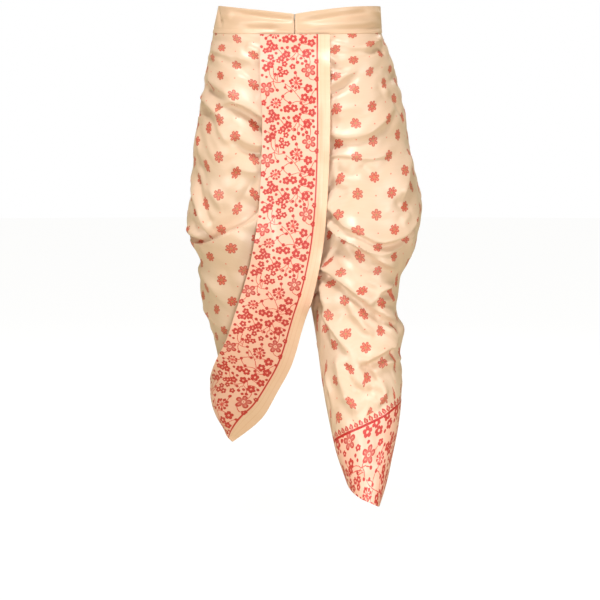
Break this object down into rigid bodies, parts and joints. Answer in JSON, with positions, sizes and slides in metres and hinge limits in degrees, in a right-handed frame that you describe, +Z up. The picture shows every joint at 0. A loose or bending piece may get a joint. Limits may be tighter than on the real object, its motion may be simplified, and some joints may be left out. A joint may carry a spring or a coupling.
{
  "type": "dhoti pants",
  "caption": "Draped dhoti trousers with a waistband, a very low crotch, legs narrowing to the shins, a printed fall panel down the front and a printed hem border, worn form, mid step.",
  "frame": {"origin": "middle of the waist opening, level with the waistband at the centre front", "axes": "+Z up, -Y the front, +X the wearer's left"},
  "size_m": [0.4506, 0.4192, 0.9361],
  "materials": {
    "body_satin": "cream polyester satin printed with small coral star flowers and dots, soft sheen",
    "band_satin": "plain cream satin, lightly wrinkled, soft sheen",
    "border_satin": "peach satin with a dense red flower and vine print",
    "edge_satin": "plain cream satin edge, folded and stitched"
  },
  "bodies": {
    "root": {"waistband_front_right": "band_satin", "waistband_front_left": "band_satin", "waistband_back": "band_satin", "right_leg_front": "body_satin", "right_leg_back": "body_satin", "left_leg_front": "body_satin", "left_leg_back": "body_satin", "left_hem_border": "border_satin", "front_panel": "border_satin", "front_panel_edge": "edge_satin"}
  },
  "joints": []
}
